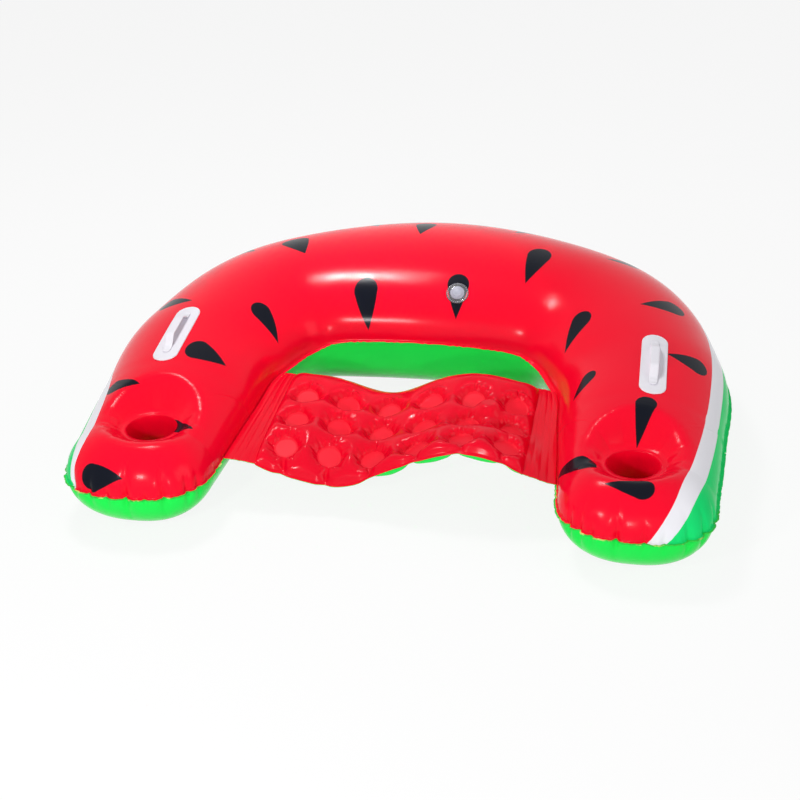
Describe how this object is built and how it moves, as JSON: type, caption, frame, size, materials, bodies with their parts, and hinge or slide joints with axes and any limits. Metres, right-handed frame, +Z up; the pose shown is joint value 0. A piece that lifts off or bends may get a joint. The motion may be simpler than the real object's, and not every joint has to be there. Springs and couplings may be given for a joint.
{
  "type": "inflatable lounge ring",
  "caption": "U-shaped inflatable lounge ring printed as a slice of watermelon, with a tufted seat panel, cup wells, grab handles and air valves.",
  "frame": {"origin": "on the ground under the middle of the ring, at the bottom centre of its box", "axes": "+Z up, the open front faces -Y, +X to the right arm as seen from the front"},
  "size_m": [1.0646, 0.895, 0.2596],
  "materials": {
    "printed_red_film": "glossy printed film",
    "red_film": "glossy film",
    "green_film": "glossy film",
    "white_vinyl": "smooth soft vinyl",
    "valve_vinyl": "glossy translucent vinyl"
  },
  "bodies": {
    "ring": {"ring_top_film": "printed_red_film", "ring_bottom_film": "green_film", "seat_top_film": "red_film", "seat_bottom_film": "green_film", "cup_wall_left": "red_film", "cup_wall_right": "red_film", "handle_base_left": "white_vinyl", "handle_base_right": "white_vinyl", "handle_strap_left": "white_vinyl", "handle_strap_right": "white_vinyl", "valve_flange": "valve_vinyl", "seat_valve_flange": "valve_vinyl"},
    "valve_neck": {"valve_stem": "valve_vinyl"},
    "valve_plug": {"valve_stopper": "valve_vinyl"},
    "valve_check": {"valve_flap": "valve_vinyl"},
    "seat_valve_neck": {"seat_valve_stem": "valve_vinyl"},
    "seat_valve_plug": {"seat_valve_stopper": "valve_vinyl"},
    "seat_valve_check": {"seat_valve_flap": "valve_vinyl"}
  },
  "joints": [
    {"name": "valve_pull", "type": "slide", "parent": "ring", "child": "valve_neck", "axis": [0.0216, -0.65, 0.7597], "range_m": [0, 0.013]},
    {"name": "valve_stopper_open", "type": "hinge", "parent": "valve_neck", "child": "valve_plug", "pos_m": [0.05031, 0.08317, 0.20475], "axis": [0.9979, -0.032, -0.0558], "range_deg": [0, 150]},
    {"name": "valve_flap_open", "type": "hinge", "parent": "valve_neck", "child": "valve_check", "pos_m": [0.04998, 0.10194, 0.18818], "axis": [-0.9979, 0.032, 0.0558], "range_deg": [0, 55], "stiffness_Nm_per_rad": 0.0002, "springref_deg": -11.46},
    {"name": "seat_valve_pull", "type": "slide", "parent": "ring", "child": "seat_valve_neck", "axis": [0, 0, -1], "range_m": [0, 0.013]},
    {"name": "seat_valve_stopper_open", "type": "hinge", "parent": "seat_valve_neck", "child": "seat_valve_plug", "pos_m": [0.1305, -0.16423, 0.0969], "axis": [0, 1, 0], "range_deg": [0, 150]},
    {"name": "seat_valve_flap_open", "type": "hinge", "parent": "seat_valve_neck", "child": "seat_valve_check", "pos_m": [0.134, -0.16423, 0.1217], "axis": [0, -1, 0], "range_deg": [0, 55], "stiffness_Nm_per_rad": 0.0002, "springref_deg": -11.46}
  ]
}
